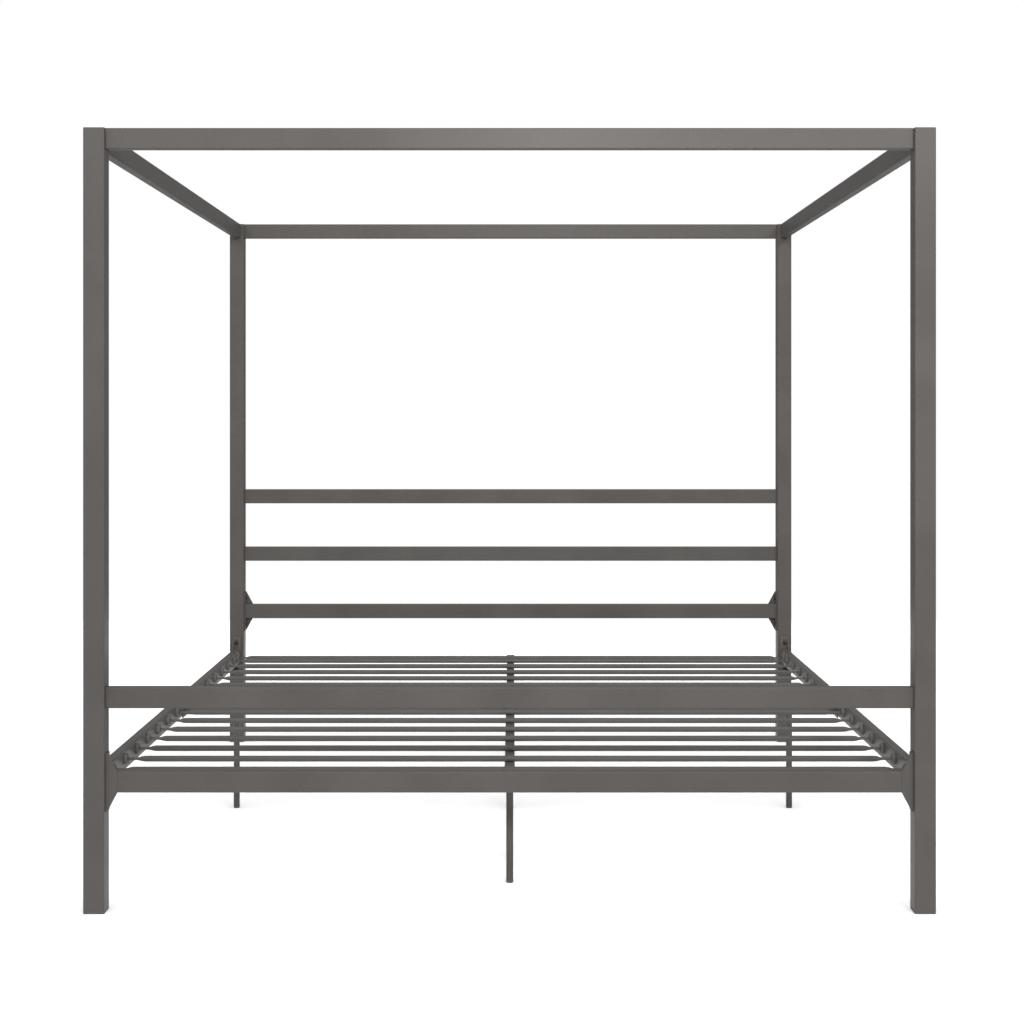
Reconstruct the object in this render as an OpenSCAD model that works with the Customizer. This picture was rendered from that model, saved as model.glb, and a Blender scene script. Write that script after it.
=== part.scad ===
// Four poster canopy bed: square steel posts, box rails and tubular slats.
// The floor is Z = 0, the headboard is at +Y and the footboard at -Y.

/* [Overall] */
// Width over the posts
bed_w = 2007; // [1200:1:2500]
// Length over the posts
bed_l = 2108; // [1700:1:2600]
// Height from the floor to the tops of the posts
bed_h = 1852; // [1500:1:2300]

/* [Posts] */
// Side of a square post
post_side = 50; // [40:1:60]
// Wall of a post tube
post_wall = 1.5; // [1:0.1:3]
// Outer corner radius of the posts and rails
corner_r = 3; // [2:0.5:5]
// Flange of the plastic cap that closes a post's top
top_cap_t = 2; // [1:0.5:5]
// Flange of the plastic cap under a post
foot_cap_t = 4; // [2:0.5:10]
// Depth that a cap's plug reaches into a post
cap_plug = 15; // [8:1:30]

/* [Rails] */
// Height of a rail
rail_h = 50; // [40:1:60]
// Thickness of a rail
rail_t = 25; // [20:1:32]
// Wall of a rail tube
rail_wall = 1.5; // [1:0.1:2.5]
// Height of the mattress rails' undersides above the floor
rail_bottom = 283; // [240:1:360]
// Height of the footboard's upper rail top above the floor
foot_top = 532; // [460:1:700]
// Height of the headboard's top above the floor
head_top = 902.5; // [840:0.5:1200]
// Distance between the centres of the headboard's rails
head_pitch = 205.75; // [160:0.25:240]

/* [Gusset brackets] */
// Height of a gusset's end plate
gusset_h = 139; // [120:1:180]
// Width of a gusset's end plate
gusset_w = 28; // [26:1:34]
// Thickness of a gusset's end plate
gusset_plate = 4; // [3:0.5:6]
// Thickness of a gusset's cheek
gusset_cheek = 3; // [2:0.5:4]
// Distance that a cheek reaches along its rail
gusset_reach = 28; // [20:1:60]
// Distance of each gusset bolt above or below the rail's centre
gusset_bolt = 48; // [42:1:60]

/* [Slats] */
// Outer diameter of a tubular slat
slat_d = 15; // [12:0.5:22]
// Wall of a slat
slat_wall = 1.2; // [0.8:0.1:2]
// Height of the slats' axes above the mattress rails' undersides
slat_rise = 29; // [24:0.5:34]
// Number of slats in the front half
slats_front = 7; // [3:1:7]
// Distance from the front posts to the first slat's axis
slat_margin_foot = 83.5; // [60:0.5:120]
// Distance from the front half's last slat to the joint between the halves
slat_margin_joint = 140.5; // [80:0.5:200]
// Distance from that joint to the back half's first slat
slat_start_back = 87.5; // [70:0.5:160]
// Distance from the back posts to the bar at the head end
head_bar_margin = 74; // [50:0.5:120]
// Distance from the bar at the head end to the slat in front of it
head_bar_gap = 70; // [50:0.5:120]
// Length of the flattened end, measured from the side rail's face
slat_flat = 26; // [16:1:50]
// Distance from the side rail's face to where the flattening starts
slat_taper = 52; // [36:1:80]
// Width of the flattened end
slat_tab_w = 22; // [14:0.5:28]
// Thickness of the flattened end
slat_tab_t = 3; // [2:0.2:5]

/* [Slat sockets] */
// Diameter of a socket's round flange
socket_d = 28; // [22:0.5:30]
// Distance that a socket stands out of the side rail
socket_out = 9; // [4:0.5:12]
// Slope around a socket's face
socket_edge = 3; // [1:0.5:3.5]
// Diameter of a socket's neck, which passes through the rail's wall
socket_neck = 19; // [16:0.5:24]
// Width of the tongue at a slat's tip, which enters the socket
tongue_w = 14; // [8:0.5:18]

/* [Under frame] */
// Side of the square tube of the centre rail and the mid bar
beam_side = 25; // [20:1:30]
// Wall of that tube
beam_wall = 1.5; // [1:0.1:2.5]
// Distance of the mid bar's axis behind the joint between the halves
mid_offset = 12; // [0:0.5:30]
// Width of the strap that hooks the centre rail over a slat
hook_w = 25; // [15:1:30]
// Thickness of that strap
hook_t = 3; // [2:0.5:5]
// Length of a fishplate that bolts the mid bar to a side rail
fish_len = 110; // [90:1:140]
// Thickness of a fishplate
fish_t = 3; // [2:0.5:5]
// Length of a sleeve inside a side rail's joint
sleeve_len = 150; // [120:1:200]
// Wall of that sleeve
sleeve_wall = 2; // [1.5:0.1:3]

/* [Legs] */
// Diameter of a support leg
leg_d = 18; // [14:1:30]
// Wall of a support leg
leg_wall = 1.5; // [1:0.1:3]
// Height of the plastic foot under a support leg
leg_foot_h = 6; // [3:0.5:12]
// Distance from the hooked slat to the nearest centre leg
leg_from_hook = 137; // [60:1:300]
// Distance of the left leg from the bed's centre line
leg_left = 816; // [500:1:850]
// Distance of the right leg from the bed's centre line
leg_right = 832; // [500:1:850]

/* [Fasteners] */
// Thread diameter of the gusset, fishplate and leg fasteners
bolt_d = 8; // [6:1:10]
// Diameter of the grub screws that lock the plain rails
screw_d = 6; // [4:1:8]
// Length of the spigots that carry the plain rails
spigot_len = 32; // [24:1:60]

/* [Hidden] */
$fn = 48;

// Clearance on each side of a piece that slides into another
slip = 0.25;
// Clearance around a bolt in its hole
bolt_gap = 0.4;
// Clearance around a thread in its nut
thread_gap = 0.1;

half_w = bed_w / 2;
half_l = bed_l / 2;
// Centres of the posts, and the faces that look into the bed
post_x = half_w - post_side / 2;
post_y = half_l - post_side / 2;
face_x = half_w - post_side;
face_y = half_l - post_side;
// Inner faces of the side rails
rail_face_x = post_x - rail_t / 2;

side_rail_z = rail_bottom + rail_h / 2;
foot_rail_z = foot_top - rail_h / 2;
head_rail_z = head_top - rail_h / 2;
canopy_z = bed_h - rail_h / 2;
low_head_z = head_rail_z - 2 * head_pitch;

slat_z = rail_bottom + slat_rise;
beam_z = slat_z - slat_d / 2 - beam_side / 2;
beam_bottom = beam_z - beam_side / 2;

// Slats, from the foot to the head: the front half, the back half, a slat close to the head bar
// and the head bar
slat_pitch = (face_y - slat_margin_foot - slat_margin_joint) / (slats_front - 1);
head_bar_y = face_y - head_bar_margin;
SLAT_Y = concat(
    [for (i = [0 : slats_front - 1]) -face_y + slat_margin_foot + i * slat_pitch],
    [for (i = [0 : slats_front - 2]) slat_start_back + i * slat_pitch],
    [head_bar_y - head_bar_gap, head_bar_y]
);
slat_count = len(SLAT_Y);

// The centre rail hooks over the first slat and the head bar
hook_front_y = SLAT_Y[0];
hook_back_y = head_bar_y;
hook_inner_r = slat_d / 2 + slip;
hook_outer_r = hook_inner_r + hook_t;
mid_y = mid_offset;
mid_length = 2 * (rail_face_x - fish_t);
centre_legs_y = [hook_front_y + leg_from_hook, mid_y, hook_back_y - leg_from_hook];

// Fastener proportions
bolt_head_d = 1.75 * bolt_d;
bolt_head_h = 0.55 * bolt_d;
nut_d = 2 * bolt_d;
nut_h = bolt_d;
bolt_reach = 2.2 * bolt_d;
screw_reach = 2 * screw_d;

coat = "#63605d";
slat_coat = "#5c5a56";
plastic = "#5d5b58";
bolt_black = "#3a3938";
zinc = "#a9abad";

function side_name(s) = s < 0 ? "left" : "right";
function end_name(e) = e < 0 ? "front" : "back";
function slat_name(i) = str("slat_", i + 1);

POSTS = [for (e = [-1, 1], s = [-1, 1]) [str("post_", end_name(e), "_", side_name(s)), s, e]];
SIDE_RAILS = [for (e = [-1, 1], s = [-1, 1])
    [str("side_rail_", end_name(e), "_", side_name(s)), s, e]];
END_GUSSETS = [for (e = [-1, 1], s = [-1, 1])
    [str("gusset_", e < 0 ? "footboard" : "headboard", "_", side_name(s)), s, e]];
SIDE_GUSSETS = [for (e = [-1, 1], s = [-1, 1])
    [str("gusset_side_", end_name(e), "_", side_name(s)), s, e]];

// Rectangle a by b with round corners, kept as true arcs
module rounded_rect(a, b, r) {
    square([a - 2 * r, b], center = true);
    square([a, b - 2 * r], center = true);
    for (sx = [-1, 1], sy = [-1, 1])
        translate([sx * (a / 2 - r), sy * (b / 2 - r)]) circle(r = r);
}

module tube_section(a, b, wall) {
    difference() {
        rounded_rect(a, b, corner_r);
        rounded_rect(a - 2 * wall, b - 2 * wall, max(corner_r - wall, 0.5));
    }
}

// Extrudes a section along +X from x0 to x1: its x runs along Y and its y runs up
module along_x(x0, x1, y, z) {
    translate([x0, y, z]) rotate([90, 0, 90]) linear_extrude(x1 - x0) children();
}

// Extrudes a section along +Y from y0 to y1: its x runs along X and its y runs up
module along_y(y0, y1, x, z) {
    translate([x, y1, z]) rotate([90, 0, 0]) linear_extrude(y1 - y0) children();
}

// Places a child once at each post, with s for the side and e for the end
module at_posts() {
    for ($e = [-1, 1], $s = [-1, 1])
        translate([$s * post_x, $e * post_y, 0]) children();
}

// ---- bolts -------------------------------------------------------------------------------

// Button head bolt: the seat of its head is Z = 0 and its thread points down
module frame_bolt(reach) {
    difference() {
        union() {
            intersection() {
                cylinder(d = bolt_head_d, h = bolt_head_h);
                translate([0, 0, bolt_head_h - bolt_head_d * 0.72])
                    sphere(d = bolt_head_d * 1.44);
            }
            translate([0, 0, -reach]) cylinder(d = bolt_d, h = reach + bolt_head_h / 2);
        }
        translate([0, 0, bolt_head_h * 0.4])
            cylinder(d = bolt_d * 0.62, h = bolt_head_h, $fn = 6);
    }
}

// A weld nut: its seat is Z = 0 and it stands down from there
module weld_nut() {
    translate([0, 0, -nut_h]) difference() {
        cylinder(d = nut_d, h = nut_h);
        translate([0, 0, -1]) cylinder(d = bolt_d + 2 * thread_gap, h = nut_h + 2);
    }
}

// ---- gusset brackets ---------------------------------------------------------------------

// Turns a child from a gusset's own frame, where +X runs along the rail away from the post,
// +Y points to the outside of the bed and +Z is up, to an end gusset's place on post s, e
module at_end_gusset(s, e) {
    z = e < 0 ? side_rail_z : low_head_z;
    translate([s * face_x, e * post_y, z])
        mirror([s > 0 ? 1 : 0, 0, 0])
            mirror([0, e < 0 ? 1 : 0, 0]) children();
}

module at_side_gusset(s, e) {
    translate([s * post_x, e * face_y, side_rail_z])
        mirror([s > 0 ? 0 : 1, 0, 0])
            mirror([0, e < 0 ? 0 : 1, 0])
                mirror([1, -1, 0]) children();
}

module at_gusset_bolts() {
    for (v = [-1, 1])
        translate([0, 0, v * gusset_bolt]) rotate([0, 90, 0]) children();
}

// The cheek narrows from the end plate's full height to the rail's
module cheek_outline() {
    polygon([
        [0, gusset_h / 2],
        [gusset_plate, gusset_h / 2],
        [gusset_reach, rail_h / 2],
        [gusset_reach, -rail_h / 2],
        [gusset_plate, -gusset_h / 2],
        [0, -gusset_h / 2]
    ]);
}

module gusset() {
    difference() {
        union() {
            translate([0, rail_t / 2 - gusset_w, -gusset_h / 2])
                cube([gusset_plate, gusset_w, gusset_h]);
            translate([0, rail_t / 2, 0]) rotate([90, 0, 0])
                linear_extrude(gusset_cheek) cheek_outline();
        }
        at_gusset_bolts()
            translate([0, 0, -1]) cylinder(d = bolt_d + 2 * bolt_gap, h = gusset_plate + 2);
        // The end plate's two free corners are clipped
        for (v = [-1, 1])
            translate([0, rail_t / 2 - gusset_w, v * gusset_h / 2]) rotate([45, 0, 0])
                cube([3 * gusset_plate, corner_r * 2, corner_r * 2], center = true);
    }
}

// What a gusset removes from the rail that it holds: the rail's outer wall, which the cheek
// replaces, and the end that the plate takes
module gusset_notch() {
    translate([-1, rail_t / 2 - gusset_cheek, -rail_h])
        cube([gusset_reach + 1 + bolt_gap, gusset_cheek + 1, 2 * rail_h]);
}

// ---- posts -------------------------------------------------------------------------------

module post(s, e) {
    color(coat) difference() {
        translate([s * post_x, e * post_y, foot_cap_t])
            linear_extrude(bed_h - foot_cap_t - top_cap_t)
                tube_section(post_side, post_side, post_wall);
        at_end_gusset(s, e) post_bolt_holes();
        at_side_gusset(s, e) post_bolt_holes();
    }
}

module post_bolt_holes() {
    at_gusset_bolts()
        translate([0, 0, -post_wall - 1]) cylinder(d = bolt_d + 2 * bolt_gap, h = post_wall + 2);
}

// A cap's flange covers the post's end and its plug fits inside the tube
module post_cap(flange) {
    inner = post_side - 2 * post_wall - 2 * slip;
    linear_extrude(flange) rounded_rect(post_side, post_side, corner_r);
    translate([0, 0, flange - 0.5]) difference() {
        linear_extrude(cap_plug + 0.5) rounded_rect(inner, inner, corner_r / 2);
        translate([0, 0, 2.5]) linear_extrude(cap_plug) square(inner - 5, center = true);
    }
}

module post_top_caps() {
    color(plastic) at_posts()
        translate([0, 0, bed_h]) mirror([0, 0, 1]) post_cap(top_cap_t);
}

module post_foot_caps() {
    color(plastic) at_posts() post_cap(foot_cap_t);
}

// ---- plain rails, each carried by a spigot at both ends ----------------------------------

// Places a child at both ends of every plain rail: +X runs along the rail, away from the post
module at_spigots() {
    for (s = [-1, 1]) {
        for (p = [[-1, foot_rail_z], [1, head_rail_z], [1, head_rail_z - head_pitch],
                  [-1, canopy_z], [1, canopy_z]])
            translate([s * face_x, p[0] * post_y, p[1]])
                mirror([s > 0 ? 1 : 0, 0, 0]) children();
        for (e = [-1, 1])
            translate([s * post_x, e * face_y, canopy_z])
                rotate([0, 0, -e * 90]) children();
    }
}

module spigot() {
    a = rail_t - 2 * rail_wall - 2 * slip;
    b = rail_h - 2 * rail_wall - 2 * slip;
    difference() {
        rotate([90, 0, 90]) linear_extrude(spigot_len) rounded_rect(a, b, corner_r / 2);
        translate([spigot_len / 2, 0, -rail_h / 2])
            cylinder(d = screw_d + 2 * thread_gap, h = rail_wall + screw_reach + 1);
    }
}

// Grub screw, flush with the rail's underside, with a hexagon socket in its lower end
module spigot_screw() {
    translate([spigot_len / 2, 0, -rail_h / 2]) difference() {
        cylinder(d = screw_d, h = screw_reach);
        translate([0, 0, -1]) cylinder(d = screw_d * 0.55, h = 1 + screw_d * 0.6, $fn = 6);
    }
}

module spigot_screw_hole() {
    translate([spigot_len / 2, 0, -rail_h / 2 - 1])
        cylinder(d = screw_d + 2 * bolt_gap, h = rail_wall + 2);
}

module rail_spigots() {
    color(zinc) at_spigots() spigot();
}

module spigot_screws() {
    color(bolt_black) at_spigots() spigot_screw();
}

// A rail across the bed, between two posts
module plain_cross_rail(e, z) {
    color(coat) difference() {
        along_x(-face_x, face_x, e * post_y, z) tube_section(rail_t, rail_h, rail_wall);
        for (s = [-1, 1])
            translate([s * face_x, e * post_y, z]) mirror([s > 0 ? 1 : 0, 0, 0])
                spigot_screw_hole();
    }
}

module canopy_side_rail(s) {
    color(coat) difference() {
        along_y(-face_y, face_y, s * post_x, canopy_z) tube_section(rail_t, rail_h, rail_wall);
        for (e = [-1, 1])
            translate([s * post_x, e * face_y, canopy_z]) rotate([0, 0, -e * 90])
                spigot_screw_hole();
    }
}

// ---- rails that end in gussets -----------------------------------------------------------

module gusset_cross_rail(e, z) {
    color(coat) difference() {
        along_x(-face_x + gusset_plate, face_x - gusset_plate, e * post_y, z)
            tube_section(rail_t, rail_h, rail_wall);
        for (s = [-1, 1]) at_end_gusset(s, e) gusset_notch();
    }
}

// Half of a side rail: a gusset at the post and a sleeve at the joint in the middle
module side_rail(s, e) {
    y_post = e * (face_y - gusset_plate);
    color(coat) difference() {
        along_y(min(0, y_post), max(0, y_post), s * post_x, side_rail_z)
            tube_section(rail_t, rail_h, rail_wall);
        at_side_gusset(s, e) gusset_notch();
        for (y = SLAT_Y) if (y * e > 0)
            through_inner_wall(s, y, slat_z, socket_neck + 2 * slip);
        for (p = fish_bolts()) if (p[0] * e > 0)
            through_inner_wall(s, p[0], p[1], bolt_d + 2 * bolt_gap);
    }
}

module through_inner_wall(s, y, z, d) {
    translate([s * (rail_face_x + rail_wall / 2), y, z]) rotate([0, 90, 0])
        cylinder(d = d, h = rail_wall + 2, center = true);
}

// ---- slats and their sockets -------------------------------------------------------------

// A tube whose two ends are pressed flat, with a narrow tongue at each tip
module slat(y) {
    taper_x = rail_face_x - slat_taper;
    flat_x = rail_face_x - slat_flat;
    tip_x = rail_face_x + rail_wall + 2;
    tab_end = rail_face_x - socket_out - slip;
    bore_x = taper_x - 4;
    color(slat_coat) translate([0, y, slat_z]) difference() {
        union() {
            rotate([0, 90, 0]) cylinder(d = slat_d, h = 2 * taper_x, center = true);
            for (s = [-1, 1]) mirror([s < 0 ? 1 : 0, 0, 0]) {
                hull() {
                    translate([taper_x - 1, 0, 0]) rotate([0, 90, 0])
                        cylinder(d = slat_d - 0.1, h = 1, $fn = 32);
                    translate([flat_x, 0, 0])
                        cube([0.5, slat_tab_w, slat_tab_t], center = true);
                }
                translate([flat_x, -slat_tab_w / 2, -slat_tab_t / 2])
                    cube([tab_end - flat_x, slat_tab_w, slat_tab_t]);
                translate([flat_x, -tongue_w / 2, -slat_tab_t / 2])
                    cube([tip_x - flat_x, tongue_w, slat_tab_t]);
            }
        }
        rotate([0, 90, 0])
            cylinder(d = slat_d - 2 * slat_wall, h = 2 * bore_x, center = true);
        // Drain holes under both ends
        for (s = [-1, 1])
            translate([s * (bore_x - 20), 0, -slat_d]) cylinder(d = 4, h = slat_d);
    }
}

// Round plastic socket: it stands out of the rail, and its neck fits the hole in the wall
module slat_sockets(s) {
    color(plastic) for (y = SLAT_Y)
        translate([s * rail_face_x, y, slat_z]) mirror([s < 0 ? 1 : 0, 0, 0]) difference() {
            union() {
                translate([-socket_out, 0, 0]) rotate([0, 90, 0]) {
                    cylinder(d1 = socket_d - 2 * socket_edge, d2 = socket_d, h = socket_edge);
                    translate([0, 0, socket_edge])
                        cylinder(d = socket_d, h = socket_out - socket_edge);
                }
                rotate([0, 90, 0]) translate([0, 0, -1])
                    cylinder(d = socket_neck, h = rail_wall + 5);
            }
            cube([60, tongue_w + 2 * slip, slat_tab_t + 2 * slip], center = true);
        }
}

// ---- under frame -------------------------------------------------------------------------

module beam_section() {
    tube_section(beam_side, beam_side, beam_wall);
}

// Half of the centre rail, between its hook and the mid bar, with a tongue over the mid bar
module centre_rail(e) {
    y_hook = e < 0 ? hook_front_y + hook_outer_r : hook_back_y - hook_outer_r;
    y_mid = mid_y + e * (beam_side / 2 + slip);
    lap_z = beam_z + beam_side / 2 + (e < 0 ? 0 : hook_t);
    tongue_far = y_mid + e * beam_side;
    tongue_near = mid_y - e * beam_side / 2;
    legs_y = [for (y = centre_legs_y) if ((y - mid_y) * e > 0) y];
    color(coat) difference() {
        union() {
            along_y(min(y_hook, y_mid), max(y_hook, y_mid), 0, beam_z) beam_section();
            translate([-hook_w / 2, min(tongue_near, tongue_far), lap_z])
                cube([hook_w, abs(tongue_far - tongue_near), hook_t]);
            // The upper tongue is joggled: this step brings it down to its own rail
            if (e > 0)
                translate([-hook_w / 2, tongue_far - hook_t, lap_z - hook_t])
                    cube([hook_w, hook_t, hook_t + 0.5]);
        }
        translate([0, mid_y, lap_z - 1]) cylinder(d = bolt_d + 2 * bolt_gap, h = hook_t + 2);
        for (y = legs_y)
            translate([0, y, beam_bottom - 1])
                cylinder(d = bolt_d + 2 * bolt_gap, h = beam_wall + 2);
    }
}

// A strap bent over a slat, with one leg against the centre rail's end
module centre_rail_hooks() {
    color(coat) for (e = [-1, 1]) {
        y = e < 0 ? hook_front_y : hook_back_y;
        translate([0, y, slat_z]) difference() {
            union() {
                rotate([0, 90, 0]) cylinder(r = hook_outer_r, h = hook_w, center = true);
                // The leg that the rail is welded to, and a shorter free leg
                hook_leg(-e, slat_z - beam_bottom);
                hook_leg(e, slat_d * 0.7);
            }
            rotate([0, 90, 0]) cylinder(r = hook_inner_r, h = hook_w + 2, center = true);
            translate([-hook_w, -hook_inner_r, -slat_z])
                cube([2 * hook_w, 2 * hook_inner_r, slat_z]);
        }
    }
}

module hook_leg(side, drop) {
    translate([-hook_w / 2, side > 0 ? hook_inner_r : -hook_outer_r, -drop])
        cube([hook_w, hook_t, drop]);
}

// The mid bar crosses the bed at the joint and carries three legs
module mid_bar() {
    color(coat) difference() {
        along_x(-mid_length / 2, mid_length / 2, mid_y, beam_z) beam_section();
        for (x = [-leg_left, 0, leg_right])
            translate([x, mid_y, beam_bottom - 1])
                cylinder(d = bolt_d + 2 * bolt_gap, h = beam_wall + 2);
        translate([0, mid_y, beam_z + beam_side / 2 - beam_wall - 1])
            cylinder(d = bolt_d + 2 * bolt_gap, h = beam_wall + 2);
    }
}

// Bolt centres of a fishplate, as Y and Z
function fish_bolts() = [for (u = [-1, 1], v = [0, 1])
    [u * (fish_len / 2 - 12 - 24 * v), side_rail_z + (2 * v - 1) * rail_h * 0.24]];

// A fishplate bridges the joint in a side rail and holds the mid bar's end
module mid_bar_fishplates() {
    low = min(beam_bottom, rail_bottom + corner_r);
    high = rail_bottom + rail_h - corner_r;
    color(coat) for (s = [-1, 1]) difference() {
        translate([s * (rail_face_x - fish_t / 2), 0, (low + high) / 2])
            cube([fish_t, fish_len, high - low], center = true);
        for (p = fish_bolts())
            translate([s * (rail_face_x - fish_t / 2), p[0], p[1]]) rotate([0, 90, 0])
                cylinder(d = bolt_d + 2 * bolt_gap, h = fish_t + 2, center = true);
    }
}

// A sleeve inside the joint of a side rail, tapped for the fishplate's bolts
module splice_sleeve(s) {
    a = rail_t - 2 * rail_wall - 2 * slip;
    b = rail_h - 2 * rail_wall - 2 * slip;
    color(zinc) difference() {
        along_y(-sleeve_len / 2, sleeve_len / 2, s * post_x, side_rail_z) difference() {
            rounded_rect(a, b, corner_r / 2);
            square([a - 2 * sleeve_wall, b - 2 * sleeve_wall], center = true);
        }
        for (p = fish_bolts())
            translate([s * (post_x - a / 2 + sleeve_wall / 2), p[0], p[1]]) rotate([0, 90, 0])
                cylinder(d = bolt_d + 2 * thread_gap, h = sleeve_wall + 2, center = true);
    }
}

// ---- legs --------------------------------------------------------------------------------

// A round leg with a stud that screws into the beam above it
module leg() {
    top = beam_bottom;
    translate([0, 0, leg_foot_h]) difference() {
        cylinder(d = leg_d, h = top - leg_foot_h);
        translate([0, 0, -1]) cylinder(d = leg_d - 2 * leg_wall, h = top - leg_foot_h - 5);
    }
    translate([0, 0, top - 1]) cylinder(d = bolt_d, h = 1 + beam_wall + nut_h + 2);
}

// A foot: a disc with a rounded lower edge and a plug that fits the leg
module leg_foot() {
    r = leg_d / 2;
    soft = min(2, leg_foot_h / 3);
    rotate_extrude() union() {
        polygon([[0, 0], [r - soft, 0], [r, soft], [r, leg_foot_h], [0, leg_foot_h]]);
        translate([0, leg_foot_h - 0.5]) square([r - leg_wall - slip, 12]);
    }
}

module centre_legs() {
    color(coat) for (y = centre_legs_y) translate([0, y, 0]) leg();
}

module side_legs() {
    color(coat) for (x = [-leg_left, leg_right]) translate([x, mid_y, 0]) leg();
}

LEGS = concat([for (y = centre_legs_y) [0, y]], [[-leg_left, mid_y], [leg_right, mid_y]]);

module leg_feet() {
    color(plastic) for (p = LEGS) translate([p[0], p[1], 0]) leg_foot();
}

module leg_nuts() {
    color(zinc) for (p = LEGS)
        translate([p[0], p[1], beam_bottom + beam_wall + nut_h]) weld_nut();
}

// ---- fastener groups ---------------------------------------------------------------------

module gusset_bolts() {
    color(bolt_black) for (e = [-1, 1], s = [-1, 1]) {
        at_end_gusset(s, e) at_gusset_bolts()
            translate([0, 0, gusset_plate]) frame_bolt(bolt_reach);
        at_side_gusset(s, e) at_gusset_bolts()
            translate([0, 0, gusset_plate]) frame_bolt(bolt_reach);
    }
}

module post_weld_nuts() {
    color(zinc) for (e = [-1, 1], s = [-1, 1]) {
        at_end_gusset(s, e) at_gusset_bolts() translate([0, 0, -post_wall]) weld_nut();
        at_side_gusset(s, e) at_gusset_bolts() translate([0, 0, -post_wall]) weld_nut();
    }
}

// Eight fishplate bolts, and one through the centre rail's tongues into the mid bar
module under_frame_bolts() {
    reach = fish_t + rail_wall + slip + sleeve_wall + 4;
    color(bolt_black) {
        for (s = [-1, 1], p = fish_bolts())
            translate([s * (rail_face_x - fish_t), p[0], p[1]]) rotate([0, -s * 90, 0])
                frame_bolt(reach);
        translate([0, mid_y, beam_z + beam_side / 2 + 2 * hook_t])
            frame_bolt(2 * hook_t + beam_wall + 4);
    }
}

// ---- the bed -----------------------------------------------------------------------------

for (p = POSTS)
    post(p[1], p[2]);
post_top_caps();
post_foot_caps();
plain_cross_rail(-1, canopy_z);  // canopy_rail_front
plain_cross_rail(1, canopy_z);  // canopy_rail_back
canopy_side_rail(-1);  // canopy_rail_left
canopy_side_rail(1);  // canopy_rail_right
plain_cross_rail(1, head_rail_z);  // headboard_rail_top
plain_cross_rail(1, head_rail_z - head_pitch);  // headboard_rail_middle
gusset_cross_rail(1, low_head_z);  // headboard_rail_bottom
plain_cross_rail(-1, foot_rail_z);  // footboard_rail_top
gusset_cross_rail(-1, side_rail_z);  // footboard_rail_bottom
for (r = SIDE_RAILS)
    side_rail(r[1], r[2]);
for (g = END_GUSSETS)
    color(coat) at_end_gusset(g[1], g[2]) gusset();
for (g = SIDE_GUSSETS)
    color(coat) at_side_gusset(g[1], g[2]) gusset();
for (i = [0 : slat_count - 1])
    slat(SLAT_Y[i]);
slat_sockets(-1);  // slat_sockets_left
slat_sockets(1);  // slat_sockets_right
centre_rail(-1);  // centre_rail_front
centre_rail(1);  // centre_rail_back
centre_rail_hooks();
mid_bar();
mid_bar_fishplates();
splice_sleeve(-1);  // splice_sleeve_left
splice_sleeve(1);  // splice_sleeve_right
centre_legs();
side_legs();
leg_feet();
rail_spigots();
spigot_screws();
gusset_bolts();
post_weld_nuts();
under_frame_bolts();
leg_nuts();
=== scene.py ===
"""Four poster canopy bed: its visible steelwork, plastic parts and fasteners, and a studio."""

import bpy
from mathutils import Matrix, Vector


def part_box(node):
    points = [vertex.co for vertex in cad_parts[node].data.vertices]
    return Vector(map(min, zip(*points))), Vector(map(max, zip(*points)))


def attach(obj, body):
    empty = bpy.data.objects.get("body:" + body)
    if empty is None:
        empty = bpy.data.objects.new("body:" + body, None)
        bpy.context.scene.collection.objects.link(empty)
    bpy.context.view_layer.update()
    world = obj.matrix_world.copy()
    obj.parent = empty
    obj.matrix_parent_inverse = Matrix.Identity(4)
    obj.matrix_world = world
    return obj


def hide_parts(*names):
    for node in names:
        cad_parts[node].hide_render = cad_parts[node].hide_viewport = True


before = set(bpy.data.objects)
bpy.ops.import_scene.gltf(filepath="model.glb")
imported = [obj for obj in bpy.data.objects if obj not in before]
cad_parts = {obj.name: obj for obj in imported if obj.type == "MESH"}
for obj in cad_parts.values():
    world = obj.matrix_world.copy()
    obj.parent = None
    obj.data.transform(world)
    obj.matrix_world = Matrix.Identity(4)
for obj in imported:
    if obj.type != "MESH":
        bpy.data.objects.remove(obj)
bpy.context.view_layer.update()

import math

import bmesh
import bpy
from mathutils import Vector

bl_info = {
    "name": "Four poster canopy bed",
    "version": (1, 0, 0),
    "blender": (4, 5, 0),
    "location": "3D View > Sidebar > Bed",
    "description": "Builds a steel canopy bed around its packed frame",
    "category": "Object",
}

MM = 0.001
SIDES = ("left", "right")
ENDS = ("front", "back")
SLATS = sorted((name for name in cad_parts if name.startswith("slat_")
                and name[5:].isdigit()), key=lambda name: int(name[5:]))
CORNERS = [(end, side) for end in ENDS for side in SIDES]
# Faces that meet at less than this many degrees are shaded as one smooth surface
CREASE, PRESSED_CREASE, WELD_CREASE = 34, 50, 70
# Points of a CAD mesh that are closer than this, in metres, are one point
SAME_POINT = 0.00001


# ---- sizes and colours -------------------------------------------------------------------------

def length(name, description, default_mm, least_mm=0.0):
    """A length that the user sees in the scene's units"""
    return bpy.props.FloatProperty(name=name, description=description, default=default_mm * MM,
                                   min=least_mm * MM, precision=4, subtype="DISTANCE",
                                   unit="LENGTH")


def number(name, description, default, least=0.0):
    return bpy.props.FloatProperty(name=name, description=description, default=default,
                                   min=least)


def colour(name, description, default):
    return bpy.props.StringProperty(name=name, description=description + ", as an sRGB hex value",
                                    default=default)


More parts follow.
